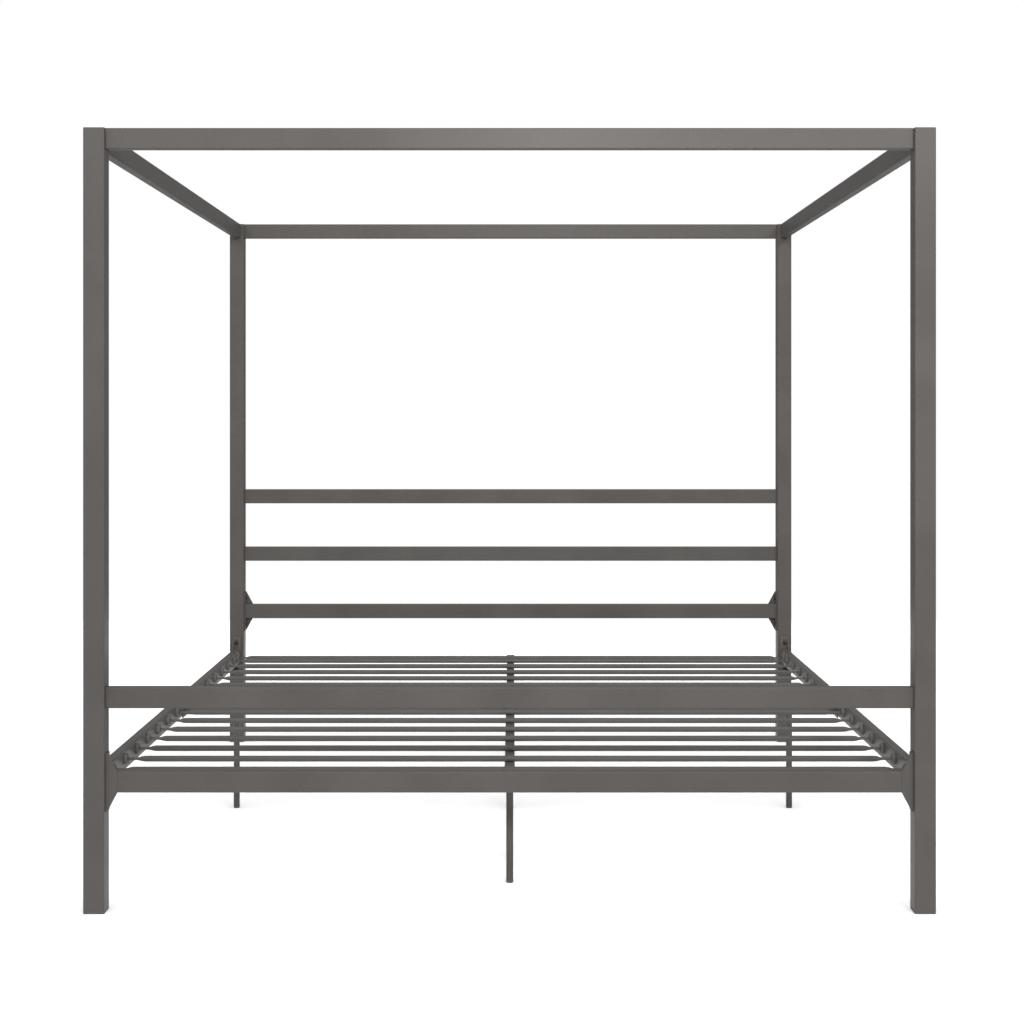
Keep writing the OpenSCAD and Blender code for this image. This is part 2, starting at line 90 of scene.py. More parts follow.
class BedSteelSizes(bpy.types.PropertyGroup):
    corner: length("Corner radius", "Outer corner radius of the posts and rails", 3)
    wall: length("Tube wall", "Wall of the posts and rails", 1.5)
    arris: length("Cut edge", "Small chamfer on each sawn tube end", 0.5)
    cheek: length("Gusset cheek", "Thickness of a gusset's cheek", 3)
    end_plate: length("Gusset end plate", "Thickness of a gusset's end plate", 4)
    gusset_reach: length("Gusset reach", "Length of a cheek along its rail", 28)
    gusset_bolt: length("Gusset bolt", "Bolt's distance above or below the rail's centre", 48)
    strap: length("Strap", "Thickness of the hooks and of the centre rail's tongues", 3)
    bead: length("Weld bead", "Radius of a fillet weld", 2.4)
    ripple: length("Weld ripple", "Distance between two ripples of a weld", 2.2)
    ripple_depth: number("Ripple depth", "Swell of a ripple, as a share of the bead", 0.16)


class BedSlatSizes(bpy.types.PropertyGroup):
    diameter: length("Slat diameter", "Diameter of a tubular slat", 15)
    tab_width: length("Pressed width", "Width of a slat's flattened end", 22)
    tab_thickness: length("Pressed thickness", "Thickness of a slat's flattened end", 3)
    flat: length("Flat length", "Flattened length, from the side rail's face", 26)
    taper: length("Taper start", "Where the flattening starts, from the side rail's face", 52)
    tongue: length("Tongue width", "Width of the tip that enters the socket", 14)
    socket_out: length("Socket height", "How far a socket stands out of the side rail", 9)
    socket: length("Socket diameter", "Diameter of a socket's flange", 28)
    neck: length("Socket neck", "Diameter of the neck that passes through the rail", 19)
    rings: bpy.props.IntProperty(name="Rings", description="Rings along one slat",
                                 default=129, min=33, max=400)
    sides: bpy.props.IntProperty(name="Sides", description="Points round one slat",
                                 default=20, min=8, max=64)


class BedFastenerSizes(bpy.types.PropertyGroup):
    bolt: length("Bolt thread", "Thread diameter of the gusset and fishplate bolts", 8)
    screw: length("Screw thread", "Thread diameter of the screws under the plain rails", 6)
    bolt_reach: length("Bolt reach", "Length of a gusset bolt below its head", 17.6)
    fish_reach: length("Fishplate bolt reach", "Length of a fishplate bolt below its head", 10.7)
    screw_inset: length("Screw inset", "Distance of a screw from its post", 16)
    fish_outer: length("Outer fishplate bolt", "Distance from the joint to the outer bolts", 43)
    fish_inner: length("Inner fishplate bolt", "Distance from the joint to the inner bolts", 19)
    fish_rise: length("Fishplate bolt rise", "Bolt's distance from the side rail's centre", 12)
    seed: bpy.props.IntProperty(name="Seed", description="Seed for the turn of each bolt",
                                default=7, min=0)


class BedFinishes(bpy.types.PropertyGroup):
    frame_coat: colour("Frame coat", "Colour of the coated tubes", "#4a4745")
    slat_coat: colour("Slat coat", "Colour of the coated slats", "#4b4947")
    nylon: colour("Nylon", "Colour of the caps, the feet and the slats' sockets", "#4b4947")
    black_steel: colour("Black steel", "Colour of the fasteners", "#34312f")
    zinc: colour("Zinc", "Colour of the plated parts inside the tubes", "#b4b6b8")
    orange_peel: length("Orange peel", "Width of one ripple in the coat", 1.8)
    grain: length("Nylon grain", "Width of one grain in the moulded plastic", 0.8)


class BedStudio(bpy.types.PropertyGroup):
    front: number("Front", "Brightness of the room behind the camera", 0.78)
    back: number("Back", "Brightness of the room behind the bed", 0.3)
    above: number("Ceiling", "Brightness that the ceiling adds", 1.6)
    panel_a: number("Panel over the camera", "Power of the panel over the camera, in watts", 22)
    panel_b: number("Panel on the right", "Power of the panel on the right, in watts", 15.5)
    panel_c: number("Panel on the left", "Power of the panel on the left, in watts", 6)
    floor: length("Floor", "Side of the floor", 9000)
    lens: number("Lens", "Focal length in millimetres", 59.26, 1.0)


# ---- materials ---------------------------------------------------------------------------------

def linear(hex_colour):
    """An sRGB hex value as a linear RGBA colour"""
    parts = [int(hex_colour[i:i + 2], 16) / 255 for i in (1, 3, 5)]
    return [c / 12.92 if c <= 0.04045 else ((c + 0.055) / 1.055) ** 2.4 for c in parts] + [1.0]


def feed(tree, node, inputs):
    """Sets a node's inputs, by name or in order. Each is a value, or what feeds it: a socket, or
    a node by its first output."""
    for key, value in inputs.items() if isinstance(inputs, dict) else enumerate(inputs):
        if isinstance(value, bpy.types.Node):
            value = value.outputs[0]
        if isinstance(value, bpy.types.NodeSocket):
            tree.links.new(value, node.inputs[key])
        else:
            node.inputs[key].default_value = value
    return node


def add_node(tree, kind, inputs=(), stops=(), **settings):
    """Adds a node with its settings, its inputs and a colour ramp's stops"""
    node = tree.nodes.new(kind)
    for key, value in settings.items():
        setattr(node, key, value)
    for stop, (place, tone) in zip(node.color_ramp.elements if stops else (), stops):
        stop.position, stop.color = place, tone
    return feed(tree, node, inputs)


def tones(hex_colour, darkest, lightest):
    """A colour ramp's stops: the same colour, made darker and lighter, for the range in which
    most of a noise's values lie"""
    return [(place, [c * factor for c in linear(hex_colour)[:3]] + [1.0])
            for place, factor in ((0.35, darkest), (0.65, lightest))]


def span(start, end, low, high):
    """What a range of values, from start to end, is mapped to"""
    return {"From Min": start, "From Max": end, "To Min": low, "To Max": high}


def new_material(name):
    material = bpy.data.materials.new(name)
    material.use_nodes = True
    tree = material.node_tree
    return material, tree, tree.nodes["Principled BSDF"]


def pattern(tree, spacing, stretch=(1, 1, 1), detail=2.0, rough=0.5):
    """A noise whose cells are about this far apart, in metres, on the object's own coordinates"""
    place = add_node(tree, "ShaderNodeTexCoord")
    turn = add_node(tree, "ShaderNodeMapping", {"Vector": place.outputs["Object"],
                                                "Scale": stretch})
    return add_node(tree, "ShaderNodeTexNoise", {
        "Vector": turn, "Scale": 1 / spacing, "Detail": detail, "Roughness": rough})


def powder_coat(name, hex_colour, peel, stretch=(1, 1, 1)):
    """Polyester powder coat, sprayed and baked: an even satin graphite that ripples softly
    like orange peel, with a slightly thicker, darker coat here and there."""
    material, tree, shader = new_material(name)
    # The coat's thickness drifts over about a hand's breadth
    drift = pattern(tree, 160 * MM, detail=3.0)
    base = add_node(tree, "ShaderNodeValToRGB", [drift], tones(hex_colour, 0.94, 1.06))
    # Single grains of powder leave flecks about 2 mm apart
    grains = pattern(tree, 2.2 * MM, stretch, detail=1.0)
    flecks = add_node(tree, "ShaderNodeValToRGB", [grains], tones("#ffffff", 0.36, 0.64))
    speckled = add_node(tree, "ShaderNodeMix", {0: 0.12, 6: base, 7: flecks},
                        data_type="RGBA", blend_type="OVERLAY")
    # Baked powder levels to within a few hundredths of a millimetre
    long_wave = add_node(tree, "ShaderNodeBump", {
        "Height": pattern(tree, peel * 4, stretch, detail=1.0), "Distance": 0.05 * MM})
    # The pigment stands proud of the resin and takes off much of its gloss
    feed(tree, shader, {
        "Base Color": speckled.outputs[2], "IOR": 1.5, "Specular IOR Level": 0.07,
        "Roughness": add_node(tree, "ShaderNodeMapRange", {
            "Value": drift, **span(0.3, 0.7, 0.32, 0.38)}),
        "Normal": add_node(tree, "ShaderNodeBump", {
            "Height": pattern(tree, peel, stretch, detail=1.5), "Distance": 0.022 * MM,
            "Normal": long_wave})})
    return material


def moulded_nylon(name, hex_colour, grain):
    """Injection moulded graphite nylon: dull, with the fine grain of a spark-eroded mould."""
    material, tree, shader = new_material(name)
    pits = pattern(tree, grain, detail=2.0, rough=0.7)
    feed(tree, shader, {
        "Base Color": add_node(tree, "ShaderNodeValToRGB", [pattern(tree, 20 * MM)],
                               tones(hex_colour, 0.88, 1.12)),
        "Roughness": add_node(tree, "ShaderNodeMapRange", {
            "Value": pits, **span(0.3, 0.7, 0.5, 0.64)}),
        "Normal": add_node(tree, "ShaderNodeBump", {"Height": pits, "Distance": 0.05 * MM}),
        "IOR": 1.53, "Specular IOR Level": 0.3})
    return material


def black_oxide_steel(name, hex_colour):
    """Black oxide on forged steel: dark, half matt metal that shows turning marks and oil."""
    material, tree, shader = new_material(name)
    oil = pattern(tree, 4 * MM, detail=3.0)
    feed(tree, shader, {
        "Base Color": add_node(tree, "ShaderNodeValToRGB", [oil], tones(hex_colour, 0.8, 1.25)),
        "Roughness": add_node(tree, "ShaderNodeMapRange", {
            "Value": oil, **span(0.3, 0.7, 0.38, 0.55)}),
        # Turning marks, 0.7 mm apart
        "Normal": add_node(tree, "ShaderNodeBump", {
            "Height": pattern(tree, 0.7 * MM), "Distance": 0.03 * MM}),
        "Metallic": 0.85})
    return material


def bright_zinc(name, hex_colour):
    """Electroplated zinc: bright, faintly clouded metal with fine drawing lines."""
    material, tree, shader = new_material(name)
    cloud = pattern(tree, 12 * MM, detail=4.0)
    # Drawing lines run along the part, 0.5 mm apart
    lines = pattern(tree, 0.5 * MM, (0.04, 1, 1))
    feed(tree, shader, {
        "Base Color": add_node(tree, "ShaderNodeValToRGB", [cloud],
                               tones(hex_colour, 0.85, 1.1)),
        "Roughness": add_node(tree, "ShaderNodeMapRange", {
            "Value": cloud, **span(0.3, 0.7, 0.24, 0.4)}),
        "Normal": add_node(tree, "ShaderNodeBump", {"Height": lines, "Distance": 0.01 * MM}),
        "Metallic": 1.0})
    return material


def finishes():
    """The bed's materials, made once, by the record's slots. The slats' coat is drawn out along
    the tube."""
    look = bpy.context.scene.bed_finishes
    makers = {
        "frame_coat": ("graphite_satin_powder_coat", powder_coat, look.frame_coat,
                       look.orange_peel),
        "slat_coat": ("graphite_powder_coat_on_drawn_tube", powder_coat, look.slat_coat,
                      look.orange_peel, (0.35, 1, 1)),
        "grey_plastic": ("graphite_moulded_nylon", moulded_nylon, look.nylon, look.grain),
        "black_bolt": ("black_oxide_steel", black_oxide_steel, look.black_steel),
        "zinc_steel": ("bright_zinc_plate", bright_zinc, look.zinc),
    }
    return {slot: bpy.data.materials.get(name) or make(name, *values)
            for slot, (name, make, *values) in makers.items()}


# ---- mesh tools --------------------------------------------------------------------------------

def rounded_outline(width, height, radius, steps=6, strip=0.0006):
    """Points round a rectangle with round corners, anticlockwise. A narrow strip beside each
    corner keeps the flats' shading flat."""
    points = []
    for quarter, (sx, sy) in enumerate(((1, 1), (-1, 1), (-1, -1), (1, -1))):
        cx, cy = sx * (width / 2 - radius), sy * (height / 2 - radius)
        arc = [quarter * math.pi / 2 + math.pi / 2 * i / steps for i in range(steps + 1)]
        corner = [(cx + radius * math.cos(a), cy + radius * math.sin(a)) for a in arc]
        first, last = arc[0], arc[-1]
        before = (corner[0][0] + strip * math.sin(first), corner[0][1] - strip * math.cos(first))
        after = (corner[-1][0] - strip * math.sin(last), corner[-1][1] + strip * math.cos(last))
        points += [before] + corner + [after]
    return points


def quarter_turn(steps):
    """Even angles from nothing to a quarter of a turn"""
    return [i / steps * math.pi / 2 for i in range(steps + 1)]


def round_outline(diameter, count):
    return [(diameter / 2 * math.cos(2 * math.pi * i / count),
             diameter / 2 * math.sin(2 * math.pi * i / count)) for i in range(count)]


def hexagon_outline(flats, count):
    """A hexagon across its flats, with the points spread round it at even angles"""
    points = []
    for i in range(count):
        angle = 2 * math.pi * i / count
        off = (angle % (math.pi / 3)) - math.pi / 6
        reach = flats / 2 / math.cos(off)
        points.append((reach * math.cos(angle), reach * math.sin(angle)))
    return points


def skin(bm, rings, joined=False):
    """Faces between rings of points. Joined, the last ring meets the first; otherwise the two
    end rings are filled."""
    loops = [[bm.verts.new(point) for point in ring] for ring in rings]
    pairs = list(zip(loops, loops[1:] + loops[:1] if joined else loops[1:]))
    for here, there in pairs:
        for i, vert in enumerate(here):
            j = (i + 1) % len(here)
            bm.faces.new((vert, here[j], there[j], there[i]))
    if not joined:
        bm.faces.new(reversed(loops[0]))
        bm.faces.new(loops[-1])


def mark_creases(bm, degrees=CREASE):
    """Smooth shading that breaks at the real edges"""
    limit = math.radians(degrees)
    for face in bm.faces:
        face.smooth = True
    for edge in bm.edges:
        edge.smooth = edge.calc_face_angle(0.0) < limit


def new_object(name, mesh, material):
    thing = bpy.data.objects.new(name, mesh)
    bpy.context.scene.collection.objects.link(thing)
    if material:
        mesh.materials.clear()
        mesh.materials.append(material)
    return thing


def close_mesh(bm, name, material=None):
    """Turns the work mesh into an object at the origin, with outward faces"""
    bmesh.ops.recalc_face_normals(bm, faces=bm.faces)
    mark_creases(bm)
    mesh = bpy.data.meshes.new(name)
    bm.to_mesh(mesh)
    bm.free()
    return new_object(name, mesh, material)


def settle(thing):
    """Replaces an object's mesh by what its modifiers make of it"""
    graph = bpy.context.evaluated_depsgraph_get()
    mesh = bpy.data.meshes.new_from_object(thing.evaluated_get(graph))
    thing.modifiers.clear()
    thing.data = mesh
    mesh.name = thing.name
    return thing


def ring_mesh(name, rings, material=None, joined=False):
    bm = bmesh.new()
    skin(bm, rings, joined)
    return close_mesh(bm, name, material)


def resmooth(thing, degrees=CREASE):
    bm = bmesh.new()
    bm.from_mesh(thing.data)
    mark_creases(bm, degrees)
    bm.to_mesh(thing.data)
    bm.free()
    return thing


def fit(thing, slot, *nodes):
    """Gives a finished piece its place in the bed"""
    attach(thing, "root")
    if nodes:
        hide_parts(*nodes)
    return thing


def centre(node):
    low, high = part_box(node)
    return (low + high) / 2


def cut_boxes(thing, boxes):
    """Cuts boxes, each given by its low and its high corner, out of a piece"""
    bm = bmesh.new()
    for low, high in boxes:
        skin(bm, [[(low[0], low[1], z), (high[0], low[1], z), (high[0], high[1], z),
                   (low[0], high[1], z)] for z in (low[2], high[2])])
    tool = close_mesh(bm, thing.name + "_cutter")
    boolean = thing.modifiers.new("cut", "BOOLEAN")
    boolean.object, boolean.operation, boolean.solver = tool, "DIFFERENCE", "EXACT"
    settle(thing)
    bpy.data.objects.remove(tool)
    return thing


def tube_rings(low, high, axis):
    """Rings over a tube's outside and back through its bore, for a box with this long axis"""
    size = bpy.context.scene.bed_steel
    radius, wall, arris = size.corner, size.wall, size.arris
    across = [a for a in range(3) if a != axis]
    middle = (low + high) / 2
    width, height = (high[a] - low[a] for a in across)

    def ring(along, inset, corner):
        points = []
        for u, v in rounded_outline(width - 2 * inset, height - 2 * inset, corner):
            point = middle.copy()
            point[axis] = along
            point[across[0]] += u
            point[across[1]] += v
            points.append(point)
        return points

    least_radius = 0.0005
    bore = max(radius - wall, least_radius)
    start, end = low[axis], high[axis]
    return [ring(start, wall, bore), ring(start, arris, radius - arris),
            ring(start + arris, 0, radius), ring(end - arris, 0, radius),
            ring(end, arris, radius - arris), ring(end, wall, bore)]


def notches(node, axis, outwards):
    """The boxes that the gussets' cheeks take out of a rail: one at each end that meets a post.
    outwards is the direction, 1 or -1 along the other level axis, of the rail's outer face."""
    size = bpy.context.scene.bed_steel
    low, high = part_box(node)
    other = 1 - axis
    play, past, middle = 0.0004, 0.001, 0.1
    reach = size.gusset_reach - size.end_plate + play
    cuts = []
    for end in (-1, 1):
        # A side rail's inner end stops at the joint in the middle and has no gusset
        stop = low[axis] if end < 0 else high[axis]
        if abs(stop) < middle:
            continue
        a, b = low - Vector((past,) * 3), high + Vector((past,) * 3)
        if end < 0:
            b[axis] = stop + reach
        else:
            a[axis] = stop - reach
        if outwards > 0:
            a[other] = high[other] - size.cheek
        else:
            b[other] = low[other] + size.cheek
        cuts.append((a, b))
    return cuts


def tube_piece(name, node, axis, outwards=0):
    """A coated tube in a CAD tube's place. A rail that gussets carry says which way it faces."""
    thing = ring_mesh(name, tube_rings(*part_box(node), axis), finishes()["frame_coat"],
                      joined=True)
    if outwards:
        resmooth(cut_boxes(thing, notches(node, axis, outwards)))
    return fit(thing, "frame_coat", node)


def strap(bm, path, width, thickness):
    """Flat bar bent along a path in the YZ plane, centred on X = 0, with eased edges"""
    eased_edge, shading_strip, sharpest_bend = 0.0006, 0.0002, 0.5
    outline = rounded_outline(width, thickness, eased_edge, steps=2, strip=shading_strip)
    path = [Vector(point) for point in path]
    rings = []
    for i, here in enumerate(path):
        ahead = (path[min(i + 1, len(path) - 1)] - path[max(i - 1, 0)]).normalized()
        side = Vector((0, -ahead.z, ahead.y))
        step = (path[max(i, 1)] - path[max(i, 1) - 1]).normalized()
        spread = 1 / max(ahead.dot(step), sharpest_bend)
        rings.append([here + Vector((u, 0, 0)) + side * (v * spread) for u, v in outline])
    skin(bm, rings)


def turned(name, rings, count):
    """A turned shape with this many points round it. Each ring is a diameter and a height, and a
    third item makes it a hexagon across those flats."""
    return ring_mesh(name, [
        [(x, y, height) for x, y in (hexagon_outline if hexagon else round_outline)(size, count)]
        for size, height, *hexagon in rings])


def cad_copy(node, name, edge):
    """A pressed or sawn plate: the CAD shape, with eased edges"""
    level, corner = math.radians(1.5), math.radians(40)
    bm = bmesh.new()
    bm.from_mesh(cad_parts[node].data)
    bmesh.ops.remove_doubles(bm, verts=bm.verts, dist=SAME_POINT)
    bmesh.ops.dissolve_limit(bm, angle_limit=level, verts=bm.verts, edges=bm.edges)
    thing = close_mesh(bm, name, finishes()["frame_coat"])
    bevel = thing.modifiers.new("eased_edges", "BEVEL")
    bevel.width, bevel.segments, bevel.limit_method = edge, 2, "ANGLE"
    bevel.angle_limit, bevel.harden_normals = corner, False
    return fit(resmooth(settle(thing), PRESSED_CREASE), "frame_coat", node)


# ---- geometry nodes ----------------------------------------------------------------------------

def new_tree(name, inputs):
    """A geometry tree with named inputs, listed by the kind of their sockets"""
    tree = bpy.data.node_groups.new(name, "GeometryNodeTree")
    tree.is_modifier = True
    for kind, labels in {"Geometry": ("Geometry",), **inputs}.items():
        for label in labels:
            tree.interface.new_socket(label, in_out="INPUT", socket_type="NodeSocket" + kind)
    tree.interface.new_socket("Geometry", in_out="OUTPUT", socket_type="NodeSocketGeometry")
    return tree, tree.nodes.new("NodeGroupInput").outputs


def end_tree(tree, geometry, material):
    """Real meshes in one finish, which is how every tree here ends"""
    real = add_node(tree, "GeometryNodeRealizeInstances", {"Geometry": geometry})
    painted = add_node(tree, "GeometryNodeSetMaterial", {"Geometry": real, "Material": material})
    add_node(tree, "NodeGroupOutput", {"Geometry": painted})


def grow(name, tree, seeds, values):
    """Runs a tree on a mesh of seed points or paths, and leaves a plain mesh"""
    thing = new_object(name, seeds, None)
    modifier = thing.modifiers.new(tree.name, "NODES")
    modifier.node_group = tree
    for item in tree.interface.items_tree:
        if item.in_out == "INPUT" and item.name in values:
            modifier[item.identifier] = values[item.name]
    return settle(thing)


def pressed_tube_tree():
    """Slats: on each seed point, a round tube along X with both ends pressed flat. The press
    widens the tube while it thins it, so the wall keeps its length round the section."""
    tree, given = new_tree("pressed_tube_slats", {
        "Float": ("Half length", "Rail face", "Diameter", "Tab width", "Tab thickness", "Flat",
                  "Taper", "Tongue", "Socket"),
        "Int": ("Rings", "Sides"), "Material": ("Material",)})
    line = add_node(tree, "GeometryNodeCurvePrimitiveLine", {"Start": (-1, 0, 0),
                                                             "End": (1, 0, 0)})
    rings = add_node(tree, "GeometryNodeResampleCurve", {
        "Curve": line, "Count": given["Rings"]})
    radius = add_node(tree, "ShaderNodeMath", (given["Diameter"], 0.5), operation="MULTIPLY")
    profile = add_node(tree, "GeometryNodeCurvePrimitiveCircle", {
        "Resolution": given["Sides"], "Radius": radius})
    tube = add_node(tree, "GeometryNodeCurveToMesh", {
        "Curve": rings, "Profile Curve": profile, "Fill Caps": True})
    at = add_node(tree, "ShaderNodeSeparateXYZ", [add_node(tree, "GeometryNodeInputPosition")])
    # The rings crowd towards the ends, where the shape changes
    turn = add_node(tree, "ShaderNodeMath", (at.outputs["X"], math.pi / 2), operation="MULTIPLY")
    crowded = add_node(tree, "ShaderNodeMath", [turn], operation="SINE")
    along = add_node(tree, "ShaderNodeMath", (given["Half length"], crowded),
                     operation="MULTIPLY")
    outwards = add_node(tree, "ShaderNodeMath", [along], operation="ABSOLUTE")
    from_face = add_node(tree, "ShaderNodeMath", (given["Rail face"], outwards),
                         operation="SUBTRACT")
    # The tip narrows to its tongue just before it enters the socket
    starts, ends = (add_node(tree, "ShaderNodeMath", (given["Socket"], ahead), operation="ADD")
                    for ahead in (0.004, 0.0005))
    press, tip = (
        add_node(tree, "ShaderNodeMapRange", {"Value": from_face, **span(first, last, 0.0, 1.0)},
                 interpolation_type="SMOOTHSTEP")
        for first, last in ((given["Taper"], given["Flat"]), (starts, ends)))
    across = at.outputs["Y"]
    for share, new, old in ((press, "Tab width", "Diameter"), (tip, "Tongue", "Tab width")):
        ratio = add_node(tree, "ShaderNodeMath", (given[new], given[old]), operation="DIVIDE")
        factor = add_node(tree, "ShaderNodeMix", {0: share, 2: 1.0, 3: ratio})
        across = add_node(tree, "ShaderNodeMath", (across, factor), operation="MULTIPLY")
    top = add_node(tree, "ShaderNodeMath", (given["Tab thickness"], 0.5), operation="MULTIPLY")
    bottom = add_node(tree, "ShaderNodeMath", (top, -1.0), operation="MULTIPLY")
    pressed = at.outputs["Z"]
    for limit, operation in ((top, "MINIMUM"), (bottom, "MAXIMUM")):
        pressed = add_node(tree, "ShaderNodeMath", (pressed, limit), operation=operation)
    height = add_node(tree, "ShaderNodeMix", {0: press, 2: at.outputs["Z"], 3: pressed})
    shaped = add_node(tree, "GeometryNodeSetPosition", {
        "Geometry": tube,
        "Position": add_node(tree, "ShaderNodeCombineXYZ", (along, across, height))})
    laid = add_node(tree, "GeometryNodeInstanceOnPoints", {
        "Points": given["Geometry"], "Instance": shaped})
    end_tree(tree, laid, given["Material"])
    return tree


def placed_copies_tree():
    """Caps, sockets, feet and bolts: one copy of the template on each seed point, turned by the
    point's own angles and then spun at random about its own axis."""
    tree, given = new_tree("placed_copies", {
        "Object": ("Template",), "Float": ("Spin",), "Int": ("Seed",),
        "Material": ("Material",)})
    template = add_node(tree, "GeometryNodeObjectInfo", {"Object": given["Template"]},
                        transform_space="ORIGINAL")
    turn = add_node(tree, "GeometryNodeInputNamedAttribute", {"Name": "turn"},
                    data_type="FLOAT_VECTOR")
    aim = add_node(tree, "FunctionNodeEulerToRotation", {"Euler": turn.outputs["Attribute"]})
    chance = add_node(tree, "FunctionNodeRandomValue", {
        2: 0.0, 3: given["Spin"], "Seed": given["Seed"]}, data_type="FLOAT")
    spin = add_node(tree, "FunctionNodeAxisAngleToRotation", {
        "Axis": (0, 0, 1), "Angle": chance.outputs[1]})
    both = add_node(tree, "FunctionNodeRotateRotation", {
        "Rotation": aim.outputs["Rotation"], "Rotate By": spin.outputs["Rotation"]},
        rotation_space="LOCAL")
    copies = add_node(tree, "GeometryNodeInstanceOnPoints", {
        "Points": given["Geometry"], "Instance": template.outputs["Geometry"],
        "Rotation": both.outputs["Rotation"]})
    end_tree(tree, copies.outputs["Instances"], given["Material"])
    return tree


def weld_bead_tree():
    """Fillet welds: a bead along each seed path, thickened at every ripple of the torch."""
    tree, given = new_tree("weld_beads", {
        "Float": ("Radius", "Ripple", "Depth"), "Material": ("Material",)})
    paths = add_node(tree, "GeometryNodeMeshToCurve", {"Mesh": given["Geometry"]})
    points_in_ripple = 4
    spacing = add_node(tree, "ShaderNodeMath", (given["Ripple"], 1 / points_in_ripple),
                       operation="MULTIPLY")
    fine = add_node(tree, "GeometryNodeResampleCurve", {"Curve": paths, "Length": spacing},
                    mode="LENGTH")
    gone = add_node(tree, "GeometryNodeSplineParameter").outputs["Length"]
    # The swell is 1 + depth * sin(2 pi * gone / ripple)
    swell = gone
    for operation, *others in (("DIVIDE", given["Ripple"]), ("MULTIPLY", 2 * math.pi),
                               ("SINE",), ("MULTIPLY", given["Depth"]), ("ADD", 1.0)):
        swell = add_node(tree, "ShaderNodeMath", (swell, *others), operation=operation)
    profile = add_node(tree, "GeometryNodeCurvePrimitiveCircle", {
        "Resolution": 8, "Radius": given["Radius"]})
    bead = add_node(tree, "GeometryNodeCurveToMesh", {
        "Curve": fine, "Profile Curve": profile, "Scale": swell, "Fill Caps": True})
    end_tree(tree, bead.outputs["Mesh"], given["Material"])
    return tree


def seed_points(name, places):
    """Seed points, each with the angles that turn a copy's +Z to where it faces"""
    mesh = bpy.data.meshes.new(name)
    mesh.from_pydata([place for place, _ in places], [], [])
    turns = mesh.attributes.new("turn", "FLOAT_VECTOR", "POINT")
    for item, (_, turn) in zip(turns.data, places):
        item.vector = turn
    return mesh


def seed_paths(name, paths):
    points, edges = [], []
    for path in paths:
        edges += [(len(points) + i, len(points) + i + 1) for i in range(len(path) - 1)]
        points += path
    mesh = bpy.data.meshes.new(name)
    mesh.from_pydata([tuple(point) for point in points], edges, [])
    return mesh


FACING = {"+x": (0, math.pi / 2, 0), "-x": (0, -math.pi / 2, 0), "+y": (-math.pi / 2, 0, 0),
          "-y": (math.pi / 2, 0, 0), "+z": (0, 0, 0), "-z": (math.pi, 0, 0)}


def place_copies(name, template, places, slot, node, spin=0.0):
    """Puts copies of a template on places, in a node's stead, and removes the template"""
    tree = bpy.data.node_groups.get("placed_copies") or placed_copies_tree()
    seeds = seed_points(name, [(place, FACING[way]) for place, way in places])
    piece = grow(name, tree, seeds, {
        "Template": template, "Spin": spin, "Seed": bpy.context.scene.bed_fasteners.seed,
        "Material": finishes()[slot]})
    bpy.data.objects.remove(template)
    return fit(resmooth(piece), slot, node)


# ---- templates for repeated parts --------------------------------------------------------------

def button_bolt(thread, reach):
    """Button head bolt with a hexagon socket: its head stands up from Z = 0"""
    head, tall, bore, count = thread * 1.75, thread * 0.55, thread * 0.62, 24
    # The head from its seat to the socket's rim, as shares of its width and height
    dome = ((0.96, 0), (1, 0.06), (1, 0.2), (0.965, 0.5), (0.87, 0.76), (0.72, 0.93), (0.6, 1))
    return turned("bolt", [
        (thread * 0.8, -reach), (thread, -reach + thread * 0.1), (thread, -0.0002), (thread, 0),
        *((head * across, tall * up) for across, up in dome),
        (bore * 1.06, tall, True), (bore, tall * 0.95, True), (bore, tall * 0.42, True),
        (bore * 0.3, tall * 0.3)], count)


def grub_screw(thread, reach):
    """Headless screw with a hexagon socket: its open end is at Z = 0 and it points down"""
    bore, count = thread * 0.5, 24
    return turned("screw", [
        (thread * 0.5, -reach), (thread, -reach * 0.88), (thread, -thread * 0.06),
        (thread * 0.9, 0), (bore * 1.1, 0, True), (bore, -thread * 0.05, True),
        (bore, -thread * 0.5, True), (bore * 0.3, -thread * 0.6)], count)


def square_cap(name, flange, crown=0.0):
    """Post cap: a flange with an eased edge and a soft crown, and a ribbed plug below it"""
    steel = bpy.context.scene.bed_steel
    low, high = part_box("post_front_left")
    side, corner = high.x - low.x, steel.corner
    plug, play, lead, arris = 0.015, 0.0005, 0.0015, 0.0003
    inner = side - 2 * steel.wall - play
    groove = inner - 0.001
    profile = [(inner - 2 * lead, -plug), (inner, -plug + lead)]
    # Three shallow ribs grip the tube: each rises from the groove and falls back to it
    rib = ((groove, 0), (inner, 0.001), (inner, 0.0022), (groove, 0.0032))
    ribs, last_rib_below = 3, 0.004
    for step in range(ribs):
        base = -plug + 2 * lead + step * (plug - last_rib_below) / ribs
        profile += [(width, base + rise) for width, rise in rib]
    profile.append((groove, 0))

    def ring(width, radius, height):
        return [(x, y, height) for x, y in rounded_outline(width, width, radius)]

    rings = [ring(width, corner / 2, height) for width, height in profile]
    rings += [ring(side - 2 * arris, corner - arris, 0), ring(side, corner, arris)]
    edge = min(0.0011, flange * 0.5)
    for turn in quarter_turn(4):
        inset = edge * (1 - math.cos(turn))
        rings.append(ring(side - 2 * inset, corner - inset,
                          flange - crown - edge + edge * math.sin(turn)))
    for share in (0.8, 0.5, 0.15):
        rings.append(ring(side * share, corner * share, flange - crown * share ** 2))
    return ring_mesh(name, rings)


